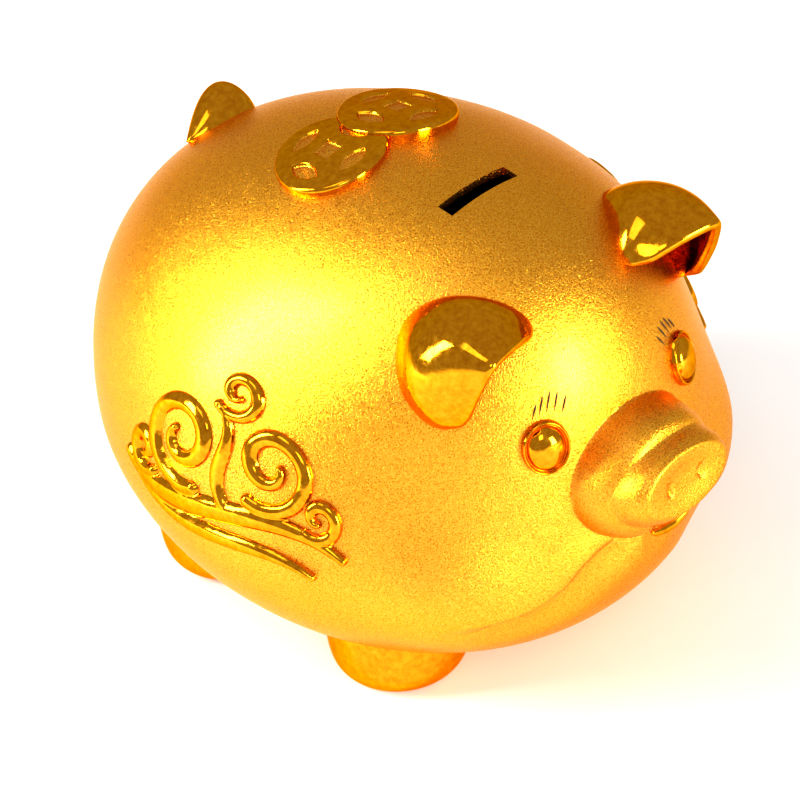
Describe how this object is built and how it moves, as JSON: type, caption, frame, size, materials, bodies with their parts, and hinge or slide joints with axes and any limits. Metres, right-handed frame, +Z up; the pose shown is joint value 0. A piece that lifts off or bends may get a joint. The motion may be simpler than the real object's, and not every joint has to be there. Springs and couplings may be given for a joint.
{
  "type": "piggy bank",
  "caption": "Hollow pig-shaped money bank with a coin slot in the back, stubby feet, applied ears, tail and relief ornament, and a soft belly stopper.",
  "frame": {"origin": "on the floor, under the middle of the bounding box", "axes": "+Z up, the pig faces -Y, its left side is +X"},
  "size_m": [0.1956, 0.2473, 0.1747],
  "materials": {
    "blasted_gold": "satin",
    "polished_gold": "polished",
    "stopper_rubber": "matte"
  },
  "bodies": {
    "pig": {"body_shell": "blasted_gold", "ear_left": "polished_gold", "ear_right": "polished_gold", "eye_left": "polished_gold", "eye_right": "polished_gold", "mouth_lip": "polished_gold", "front_left_foot": "polished_gold", "front_right_foot": "polished_gold", "rear_left_foot": "polished_gold", "rear_right_foot": "polished_gold", "tail": "polished_gold", "coin_medallion_left": "polished_gold", "coin_medallion_right": "polished_gold", "flank_scroll_left": "polished_gold", "flank_scroll_right": "polished_gold"},
    "stopper": {"belly_stopper": "stopper_rubber"}
  },
  "joints": [
    {"name": "stopper_pull", "type": "slide", "parent": "pig", "child": "stopper", "axis": [0, 0, -1], "range_m": [0, 0.045]}
  ]
}
